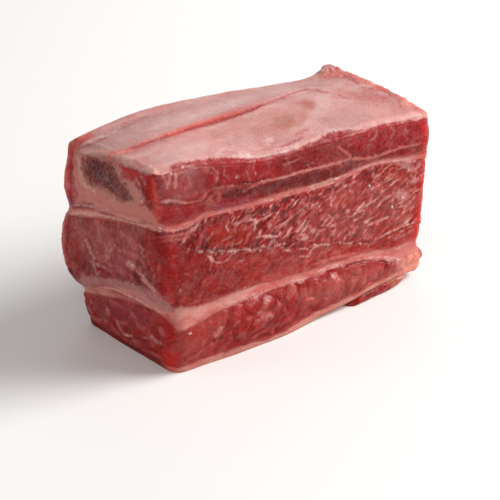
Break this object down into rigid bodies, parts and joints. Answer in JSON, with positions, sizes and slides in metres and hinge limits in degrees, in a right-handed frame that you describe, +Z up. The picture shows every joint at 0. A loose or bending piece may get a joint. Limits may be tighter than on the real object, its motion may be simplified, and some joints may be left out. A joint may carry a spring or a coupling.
{
  "type": "raw beef short rib",
  "caption": "English-cut raw beef short rib: a block of marbled meat in layers with seams of fat, the rib bone along its top.",
  "frame": {"origin": "on the resting surface, under the middle of the block's outer box", "axes": "+X along the rib bone, from the end whose sawn bone faces the viewer; +Y from the marbled front face to the back; +Z up, from the lowest muscle to the bone"},
  "size_m": [0.1252, 0.0607, 0.0757],
  "materials": {
    "marbled_meat": "wet, finely grained cut face with whitish marbling",
    "lean_meat": "wet, softly lumpy",
    "fat": "waxy, slightly wet",
    "pale_skin": "smooth wet membrane with red streaks",
    "bone": "sawn, damp",
    "bone_core": "spongy, damp"
  },
  "bodies": {
    "root": {"bottom_strip": "lean_meat", "bottom_fat": "fat", "lower_muscle": "lean_meat", "thick_fat": "fat", "main_muscle": "marbled_meat", "rib_fat": "fat", "rib_meat_lower": "lean_meat", "rib_meat_seam": "fat", "rib_meat_upper": "lean_meat", "rib_meat_back": "lean_meat", "rib_bone": "bone", "bone_core": "bone_core", "top_skin": "pale_skin"}
  },
  "joints": []
}
